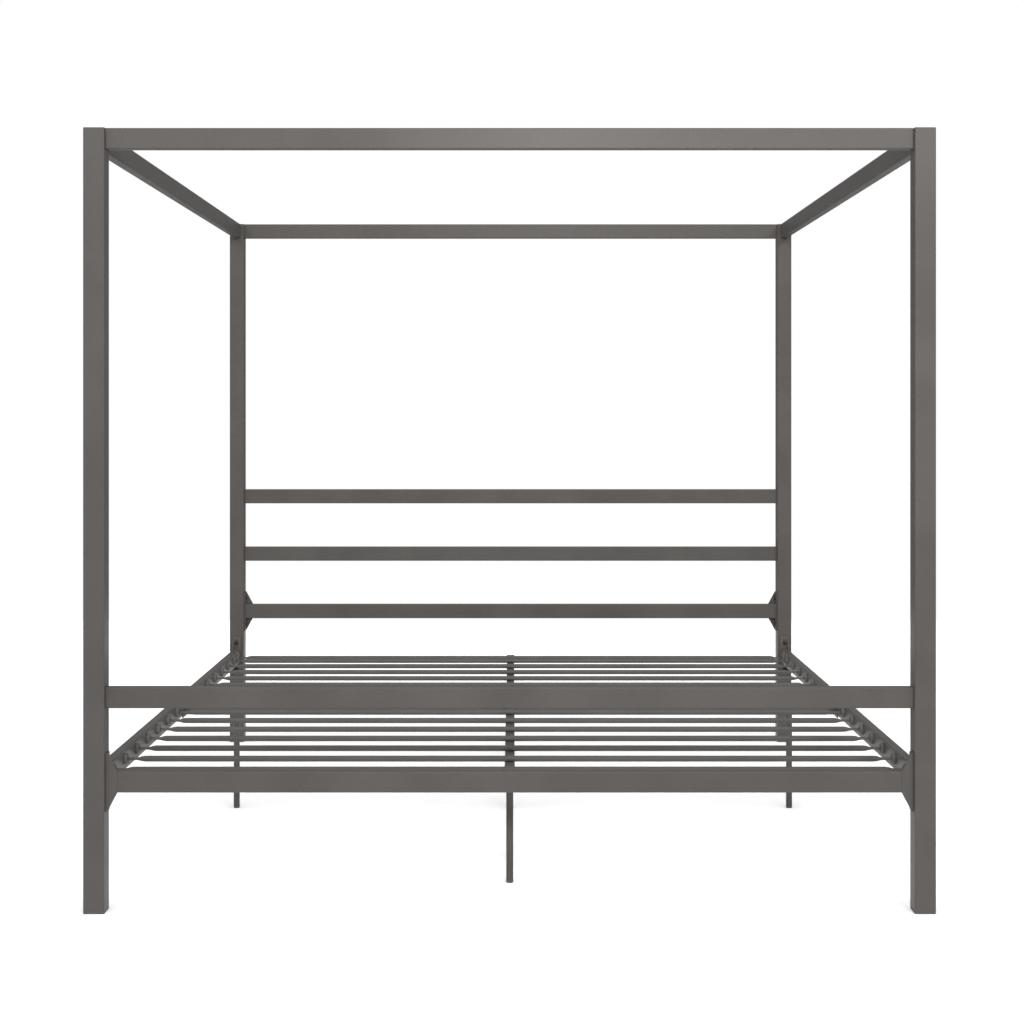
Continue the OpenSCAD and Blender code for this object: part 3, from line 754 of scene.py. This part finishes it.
def slat_socket(name):
    """Round socket that snaps into the side rail. Its slot takes a slat's tongue."""
    size = bpy.context.scene.bed_slats
    flange, out, neck = size.socket, size.socket_out, size.neck
    # It snaps in behind the rail with the barb on its neck
    barb, lead, arris = 0.0065, 0.001, 0.0003
    rings = [(neck - 2 * lead, -barb), (neck, lead - barb), (neck, 0), (flange - 2 * arris, 0),
             (flange, arris)]
    # A domed edge leads to the face, where a raised rim stands round a shallow dish
    soft, rim, dish, dish_side = 0.0045, 0.0009, 0.0009, 0.0005
    rings += [(flange - 2 * soft * (1 - math.cos(turn)), out - soft + soft * math.sin(turn))
              for turn in quarter_turn(7)]
    inner = flange - 2 * (soft + rim)
    rings += [(inner, out), (inner - 2 * dish_side, out - dish), (flange * 0.2, out - dish)]
    slot_depth, play, past, count = 0.004, 0.0003, 0.002, 36
    x, y = size.tab_thickness / 2 + play, size.tongue / 2 + play
    return cut_boxes(turned(name, rings, count), [((-x, -y, -slot_depth), (x, y, out + past))])


# ---- the bed's pieces --------------------------------------------------------------------------

class BED_OT_posts(bpy.types.Operator):
    """Four square corner posts"""
    bl_idname = "bed.posts"
    bl_label = "Posts"

    def execute(self, context):
        for end, side in CORNERS:
            tube_piece(f"{end}_{side}_post_tube", f"post_{end}_{side}", 2)
        return {"FINISHED"}


class BED_OT_post_caps(bpy.types.Operator):
    """Plastic caps on and under the posts"""
    bl_idname = "bed.post_caps"
    bl_label = "Post caps"

    def execute(self, context):
        tops, feet = [], []
        for end, side in CORNERS:
            low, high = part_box(f"post_{end}_{side}")
            x, y, _ = (low + high) / 2
            tops.append(((x, y, high.z), "+z"))
            feet.append(((x, y, low.z), "-z"))
        top_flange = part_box("post_top_caps")[1].z - high.z
        foot_flange = low.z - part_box("post_foot_caps")[0].z
        place_copies("crowned_top_caps", square_cap("top_cap", top_flange, crown=0.0006), tops,
                     "grey_plastic", "post_top_caps")
        place_copies("glide_foot_caps", square_cap("foot_cap", foot_flange), feet,
                     "grey_plastic", "post_foot_caps")
        return {"FINISHED"}


class BED_OT_canopy(bpy.types.Operator):
    """Four rails that join the posts' tops"""
    bl_idname = "bed.canopy"
    bl_label = "Canopy"

    def execute(self, context):
        for place, axis in (("front", 0), ("back", 0), ("left", 1), ("right", 1)):
            tube_piece(f"{place}_canopy_tube", f"canopy_rail_{place}", axis)
        return {"FINISHED"}


class BED_OT_headboard(bpy.types.Operator):
    """The headboard's three rails"""
    bl_idname = "bed.headboard"
    bl_label = "Headboard"

    def execute(self, context):
        tube_piece("headboard_top_tube", "headboard_rail_top", 0)
        tube_piece("headboard_middle_tube", "headboard_rail_middle", 0)
        tube_piece("headboard_bottom_tube", "headboard_rail_bottom", 0, outwards=1)
        return {"FINISHED"}


class BED_OT_footboard(bpy.types.Operator):
    """The footboard's two rails"""
    bl_idname = "bed.footboard"
    bl_label = "Footboard"

    def execute(self, context):
        tube_piece("footboard_top_tube", "footboard_rail_top", 0)
        tube_piece("footboard_bottom_tube", "footboard_rail_bottom", 0, outwards=-1)
        return {"FINISHED"}


class BED_OT_side_rails(bpy.types.Operator):
    """Two side rails, each in two halves that meet in the middle"""
    bl_idname = "bed.side_rails"
    bl_label = "Side rails"

    def execute(self, context):
        for end, side in CORNERS:
            tube_piece(f"{end}_{side}_side_tube", f"side_rail_{end}_{side}", 1,
                       outwards=-1 if side == "left" else 1)
        return {"FINISHED"}


def gusset_nodes():
    return ([f"gusset_{board}_{side}" for board in ("footboard", "headboard") for side in SIDES],
            [f"gusset_side_{end}_{side}" for end, side in CORNERS])


class BED_OT_gussets(bpy.types.Operator):
    """Eight welded gusset brackets"""
    bl_idname = "bed.gussets"
    bl_label = "Gusset brackets"

    def execute(self, context):
        for node in sum(gusset_nodes(), []):
            cad_copy(node, node + "_plate", edge=0.0006)
        return {"FINISHED"}


class BED_OT_slats(bpy.types.Operator):
    """Thirteen spaced slats and the pair at the head end, as pressed tubes"""
    bl_idname = "bed.slats"
    bl_label = "Slats"

    def execute(self, context):
        size = context.scene.bed_slats
        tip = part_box(SLATS[0])[1].x
        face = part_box("slat_sockets_right")[0].x + size.socket_out
        piece = grow("pressed_tube_slats", pressed_tube_tree(),
                     seed_points("slat_rows", [(centre(node), (0, 0, 0)) for node in SLATS]), {
                         "Half length": tip, "Rail face": face, "Diameter": size.diameter,
                         "Tab width": size.tab_width, "Tab thickness": size.tab_thickness,
                         "Flat": size.flat, "Taper": size.taper, "Tongue": size.tongue,
                         "Socket": size.socket_out, "Rings": size.rings, "Sides": size.sides,
                         "Material": finishes()["slat_coat"]})
        fit(resmooth(piece, PRESSED_CREASE), "slat_coat", *SLATS)
        return {"FINISHED"}


class BED_OT_sockets(bpy.types.Operator):
    """Plastic sockets that hold the slats' tips in the side rails"""
    bl_idname = "bed.sockets"
    bl_label = "Slat sockets"

    def execute(self, context):
        out = context.scene.bed_slats.socket_out
        for side, way in zip(SIDES, ("+x", "-x")):
            low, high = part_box(f"slat_sockets_{side}")
            face = high.x - out if way == "+x" else low.x + out
            rows = [centre(node) for node in SLATS]
            place_copies(f"{side}_slat_cups", slat_socket(f"{side}_cup"),
                         [((face, row.y, row.z), way) for row in rows], "grey_plastic",
                         f"slat_sockets_{side}")
        return {"FINISHED"}


class BED_OT_centre_rail(bpy.types.Operator):
    """The centre rail's two halves, with the straps that hook over a slat at each end"""
    bl_idname = "bed.centre_rail"
    bl_label = "Centre rail"

    def execute(self, context):
        coat = finishes()["frame_coat"]
        bar_low, bar_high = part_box("mid_bar")
        bar_y = (bar_low.y + bar_high.y) / 2
        beam = bar_high.y - bar_low.y
        hooks_low, hooks_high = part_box("centre_rail_hooks")
        width, t, half_gap = hooks_high.x - hooks_low.x, context.scene.bed_steel.strap, 0.00025
        for end, way in zip(ENDS, (-1, 1)):
            node = f"centre_rail_{end}"
            low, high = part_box(node)
            tube_low = Vector((-beam / 2, low.y, bar_low.z))
            tube_high = Vector((beam / 2, high.y, bar_high.z))
            inner = bar_y + way * (beam / 2 + half_gap)
            if way < 0:
                tube_high.y = inner
            else:
                tube_low.y = inner
            bm = bmesh.new()
            skin(bm, tube_rings(tube_low, tube_high, 1), joined=True)
            # The tongue lies over the mid bar; the upper one steps down to its own rail
            near, far = bar_y - way * beam / 2, inner + way * beam
            level = bar_high.z + t / 2
            if way < 0:
                path = [(0, far, level), (0, near, level)]
            else:
                path = [(0, near, level + t), (0, far - t * 2, level + t),
                        (0, far - t, level + t * 0.85), (0, far - t * 0.3, level + t * 0.3),
                        (0, far, level), (0, far + t, level)]
            strap(bm, path, width, t)
            fit(close_mesh(bm, f"{end}_centre_tube", coat), "frame_coat", node)
        # Hooks: up from the rail's end, over the slat and a little way down its far side
        slat_z = centre(SLATS[0]).z
        radius = (hooks_high.z - slat_z) - t / 2
        bend_starts, lip_ends, steps = slat_z - 0.004, slat_z - 0.0105, 16
        bm = bmesh.new()
        for node, way in ((SLATS[0], -1), (SLATS[-1], 1)):
            y = centre(node).y
            near, far = y - way * radius, y + way * radius
            path = [(0, near, hooks_low.z), (0, near, bend_starts)]
            path += [(0, y - way * radius * math.cos(a), slat_z + radius * math.sin(a))
                     for a in (math.pi * i / steps for i in range(steps + 1))]
            path += [(0, far, bend_starts), (0, far, lip_ends)]
            strap(bm, path, width, t)
        fit(close_mesh(bm, "slat_hooks", coat), "frame_coat", "centre_rail_hooks")
        return {"FINISHED"}


class BED_OT_mid_bar(bpy.types.Operator):
    """The bar across the middle and the fishplates at its ends"""
    bl_idname = "bed.mid_bar"
    bl_label = "Mid bar"

    def execute(self, context):
        tube_piece("mid_bar_tube", "mid_bar", 0)
        cad_copy("mid_bar_fishplates", "fishplates", edge=0.0005)
        return {"FINISHED"}


class BED_OT_legs(bpy.types.Operator):
    """Five round support legs with plastic feet"""
    bl_idname = "bed.legs"
    bl_label = "Legs"

    def execute(self, context):
        beam_low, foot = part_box("mid_bar")[0].z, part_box("centre_legs")[0].z
        low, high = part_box("side_legs")
        width, stud = high.y - low.y, context.scene.bed_fasteners.bolt
        bore = width - 2 * context.scene.bed_steel.wall
        bar = centre("mid_bar")
        front, back = (corner.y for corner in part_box("centre_legs"))
        spots = {
            "centre_legs": [(0, front + width / 2), (0, bar.y), (0, back - width / 2)],
            "side_legs": [(low.x + width / 2, bar.y), (high.x - width / 2, bar.y)],
        }
        count, arris, top_edge, stud_edge, bore_end = 32, 0.0003, 0.0005, 0.0006, 0.005
        for node, places in spots.items():
            template = turned(node + "_tube", [
                (bore, beam_low - bore_end), (bore, foot), (width - 2 * arris, foot),
                (width, foot + arris), (width, beam_low - top_edge),
                (width - 2 * top_edge, beam_low), (stud, beam_low), (stud, high.z - stud_edge),
                (stud - 2 * stud_edge, high.z)], count)
            place_copies(node + "_tubes", template, [((x, y, 0), "+z") for x, y in places],
                         "frame_coat", node)
        # The foot: a rounded underside, a rim as wide as the leg and a plug in its bore
        soft, dimple, rim_edge, play, plug, lead = 0.002, 0.0005, 0.0004, 0.0005, 0.011, 0.001
        rings = [(width * 0.3, dimple), (width * 0.5, 0), (width - 2 * soft, 0)]
        rings += [(width - 2 * soft * (1 - math.sin(turn)), soft * (1 - math.cos(turn)))
                  for turn in quarter_turn(5)[1:]]
        rings += [(width, foot - rim_edge), (width - 2 * rim_edge, foot), (bore - play, foot),
                  (bore - play, foot + plug), (bore - play - 2 * lead, foot + plug + lead)]
        place_copies("leg_foot_plugs", turned("foot", rings, count),
                     [((x, y, 0), "+z") for places in spots.values() for x, y in places],
                     "grey_plastic", "leg_feet")
        return {"FINISHED"}


def gusset_bolt_places(size):
    """Each gusset's two bolts stand on its end plate, on its rail's centre line"""
    end_gussets, side_gussets = gusset_nodes()
    places = []
    for node in end_gussets + side_gussets:
        low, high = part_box(node)
        end = "front" if "foot" in node or "front" in node else "back"
        side = "left" if "left" in node else "right"
        along, first = (0, side == "left") if node in end_gussets else (1, end == "front")
        spot = centre(f"post_{end}_{side}")
        spot[along] = low[along] + size.end_plate if first else high[along] - size.end_plate
        for rise in (-size.gusset_bolt, size.gusset_bolt):
            spot.z = (low.z + high.z) / 2 + rise
            places.append((tuple(spot), ("+" if first else "-") + "xy"[along]))
    return places


class BED_OT_bolts(bpy.types.Operator):
    """Bolts of the gussets and the under frame, and the screws under the plain rails"""
    bl_idname = "bed.bolts"
    bl_label = "Bolts and screws"

    def execute(self, context):
        size, steel = context.scene.bed_fasteners, context.scene.bed_steel
        spin = math.pi / 3
        place_copies("gusset_button_bolts", button_bolt(size.bolt, size.bolt_reach),
                     gusset_bolt_places(steel), "black_bolt", "gusset_bolts", spin)
        plate_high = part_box("mid_bar_fishplates")[1]
        rail = centre("side_rail_front_left")
        places = []
        for way, sign in (("+x", -1), ("-x", 1)):
            face = sign * (plate_high.x - steel.strap)
            for end in (-1, 1):
                places.append(((face, end * size.fish_outer, rail.z - size.fish_rise), way))
                places.append(((face, end * size.fish_inner, rail.z + size.fish_rise), way))
        places.append(((0, centre("mid_bar").y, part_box("centre_rail_back")[1].z), "+z"))
        place_copies("fishplate_bolts", button_bolt(size.bolt, size.fish_reach), places,
                     "black_bolt", "under_frame_bolts", spin)
        places = []
        for node in ("canopy_rail_front", "canopy_rail_back", "headboard_rail_top",
                     "headboard_rail_middle", "footboard_rail_top", "canopy_rail_left",
                     "canopy_rail_right"):
            low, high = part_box(node)
            along = 0 if high.x - low.x > high.y - low.y else 1
            for place in (low[along] + size.screw_inset, high[along] - size.screw_inset):
                spot = (low + high) / 2
                spot[along], spot.z = place, low.z
                places.append((tuple(spot), "-z"))
        place_copies("rail_grub_screws", grub_screw(size.screw, size.screw * 2), places,
                     "black_bolt", "spigot_screws", spin)
        return {"FINISHED"}


def round_corner(u, v, inwards_u, inwards_v, radius):
    """Three points round the rounded corner at (u, v), from the side where v is level"""
    soft = radius * 0.3
    return [(u + inwards_u * radius, v), (u + inwards_u * soft, v + inwards_v * soft),
            (u, v + inwards_v * radius)]


def rail_weld_path(node, rail, size):
    """The seam where a rail meets its gusset's end plate: over the top, down the inner side and
    back under the rail"""
    low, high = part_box(node)
    rail_low, rail_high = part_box(rail)
    along = 1 if "side" in node else 0
    other = 1 - along
    middle = (low + high) / 2
    # The plate stands at the end of the gusset that is farther from the bed's middle
    plate = low[along] + size.end_plate if middle[along] < 0 else high[along] - size.end_plate
    if middle[other] < 0:
        way, inner, cheek = -1, rail_high[other], rail_low[other] + size.cheek
    else:
        way, inner, cheek = 1, rail_low[other], rail_high[other] - size.cheek
    top, bottom = rail_high.z, rail_low.z
    path = []
    for offset, height in ((cheek, top), *round_corner(inner, top, way, -1, size.corner),
                           *reversed(round_corner(inner, bottom, way, 1, size.corner)),
                           (cheek, bottom)):
        point = Vector((0, 0, height))
        point[along], point[other] = plate, offset
        path.append(point)
    return path


class BED_OT_welds(bpy.types.Operator):
    """Fillet welds on the gussets, the mid bar and the hooks"""
    bl_idname = "bed.welds"
    bl_label = "Welds"

    def execute(self, context):
        size = context.scene.bed_steel
        end_gussets, side_gussets = gusset_nodes()
        paths = []
        for node in end_gussets:
            board = "footboard" if "foot" in node else "headboard"
            paths.append(rail_weld_path(node, f"{board}_rail_bottom", size))
        for node in side_gussets:
            paths.append(rail_weld_path(node, node.replace("gusset_side", "side_rail"), size))
        low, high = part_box("mid_bar")
        seam = [(low.y, low.z + size.corner),
                *reversed(round_corner(low.y, high.z, 1, -1, size.corner)),
                *round_corner(high.y, high.z, -1, -1, size.corner),
                (high.y, low.z + size.corner)]
        for x in (low.x, high.x):
            paths.append([Vector((x, y, z)) for y, z in seam])
        half = (high.y - low.y) / 2 - size.corner
        for y in (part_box("centre_rail_front")[0].y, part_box("centre_rail_back")[1].y):
            paths.append([Vector((x, y, high.z)) for x in (-half, 0, half)])
        piece = grow("fillet_welds", weld_bead_tree(), seed_paths("weld_seams", paths), {
            "Radius": size.bead, "Ripple": size.ripple, "Depth": size.ripple_depth,
            "Material": finishes()["frame_coat"]})
        fit(resmooth(piece, WELD_CREASE), "frame_coat")
        return {"FINISHED"}


class BED_OT_inner_parts(bpy.types.Operator):
    """Finishes for the plated parts inside the tubes, which keep their CAD shape"""
    bl_idname = "bed.inner_parts"
    bl_label = "Parts inside the tubes"

    def execute(self, context):
        zinc = finishes()["zinc_steel"]
        for node in ("rail_spigots", "splice_sleeve_left", "splice_sleeve_right",
                     "post_weld_nuts", "leg_nuts"):
            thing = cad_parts[node]
            for slot in thing.material_slots:
                slot.material = zinc
        return {"FINISHED"}


# ---- the studio --------------------------------------------------------------------------------

def area_light(name, place, aim, side, power):
    light = bpy.data.lights.new(name, "AREA")
    light.shape, light.size, light.size_y, light.energy = "RECTANGLE", side, side, power
    # A honeycomb grid keeps the panel's light off the floor
    light.spread = math.radians(75)
    lamp = bpy.data.objects.new(name, light)
    lamp.location = place
    lamp.rotation_euler = (Vector(aim) - Vector(place)).to_track_quat("-Z", "Y").to_euler()
    bpy.context.scene.collection.objects.link(lamp)


def white_room(studio):
    """A white backdrop that lights the bed like a studio: bright in front, where the windows and
    cards are, brighter overhead and dim behind"""
    world = bpy.data.worlds.new("white_room")
    world.use_nodes = True
    tree = world.node_tree
    way = add_node(tree, "ShaderNodeSeparateXYZ", {
        "Vector": add_node(tree, "ShaderNodeTexCoord").outputs["Generated"]})
    # The ceiling's light comes from its front half, so round bars catch it just above their middle
    level, height, ahead = (
        add_node(tree, "ShaderNodeMapRange", {"Value": way.outputs[axis], **span(*ends)},
                 interpolation_type="SMOOTHSTEP")
        for axis, *ends in (("Y", -0.45, 0.35, studio.front, studio.back),
                            ("Z", 0.35, 0.7, 0.0, studio.above), ("Y", -0.2, 0.5, 1.0, 0.0)))
    ceiling = add_node(tree, "ShaderNodeMath", (height, ahead), operation="MULTIPLY")
    light = add_node(tree, "ShaderNodeMath", (level, ceiling), operation="ADD")
    # The camera itself sees plain white
    seen = add_node(tree, "ShaderNodeLightPath").outputs["Is Camera Ray"]
    feed(tree, tree.nodes["Background"], {
        "Color": linear("#ffffff"),
        "Strength": add_node(tree, "ShaderNodeMix", {0: seen, 2: light, 3: 1.0})})
    return world


class BED_OT_studio(bpy.types.Operator):
    """White floor, white room, three soft panels and the camera"""
    bl_idname = "bed.studio"
    bl_label = "Studio"

    def execute(self, context):
        scene, studio = context.scene, context.scene.bed_studio
        paper, tree, shader = new_material("white_paper_sweep")
        # Matt white paper: an even, very pale floor with hardly any tone
        feed(tree, shader, {
            "Base Color": add_node(tree, "ShaderNodeValToRGB", [pattern(tree, 900 * MM)],
                                   ((0.35, linear("#fdfdfd")), (0.65, linear("#ffffff")))),
            "Roughness": 0.9, "Specular IOR Level": 0.0})
        mesh, half = bpy.data.meshes.new("studio_floor"), studio.floor / 2
        mesh.from_pydata([(-half, -half, 0), (half, -half, 0), (half, half, 0),
                          (-half, half, 0)], [], [(0, 1, 2, 3)])
        new_object("studio_floor", mesh, paper)

        scene.world = white_room(studio)
        for name, place, aim, side, power in (
                ("panel_over_camera", (0.25, -5.2, 2.5), (0.05, -1, 1.8), 0.5, studio.panel_a),
                ("panel_on_the_right", (2.15, -5.2, 2.95), (0.95, -1, 1.85), 0.5,
                 studio.panel_b),
                ("panel_on_the_left", (-1.9, -5.2, 2.7), (-0.95, -1, 1.85), 0.6,
                 studio.panel_c)):
            area_light(name, place, aim, side, power)

        lens = bpy.data.cameras.new("camera")
        lens.lens, lens.sensor_width = studio.lens, 36
        lens.shift_x, lens.shift_y = -0.0006, -0.0991
        camera = bpy.data.objects.new("camera", lens)
        camera.location = (0.0072, -5.018, 1.185)
        camera.rotation_euler = (math.pi / 2, 0, 0)
        scene.collection.objects.link(camera)
        scene.camera = camera
        scene.view_settings.view_transform = "Standard"
        return {"FINISHED"}


PIECES = (BED_OT_posts, BED_OT_post_caps, BED_OT_canopy, BED_OT_headboard, BED_OT_footboard,
          BED_OT_side_rails, BED_OT_gussets, BED_OT_slats, BED_OT_sockets, BED_OT_centre_rail,
          BED_OT_mid_bar, BED_OT_legs, BED_OT_bolts, BED_OT_welds, BED_OT_inner_parts,
          BED_OT_studio)
GROUPS = {"bed_steel": BedSteelSizes, "bed_slats": BedSlatSizes,
          "bed_fasteners": BedFastenerSizes, "bed_finishes": BedFinishes,
          "bed_studio": BedStudio}


class BED_PT_panel(bpy.types.Panel):
    """Lists the bed's pieces and sizes"""
    bl_label = "Canopy bed"
    bl_idname = "BED_PT_panel"
    bl_space_type = "VIEW_3D"
    bl_region_type = "UI"
    bl_category = "Bed"

    def draw(self, context):
        column = self.layout.column(align=True)
        for piece in PIECES:
            column.operator(piece.bl_idname)
        for name, group in GROUPS.items():
            box = self.layout.box()
            for key in group.__annotations__:
                box.prop(getattr(context.scene, name), key)


def register():
    for group in GROUPS.values():
        bpy.utils.register_class(group)
    for piece in PIECES:
        bpy.utils.register_class(piece)
    bpy.utils.register_class(BED_PT_panel)
    for name, group in GROUPS.items():
        setattr(bpy.types.Scene, name, bpy.props.PointerProperty(type=group))


def unregister():
    for name in GROUPS:
        delattr(bpy.types.Scene, name)
    for thing in (BED_PT_panel, *reversed(PIECES), *GROUPS.values()):
        bpy.utils.unregister_class(thing)


def main():
    register()
    for piece in PIECES:
        group, name = piece.bl_idname.split(".")
        getattr(getattr(bpy.ops, group), name)()


if __name__ == "__main__":
    main()
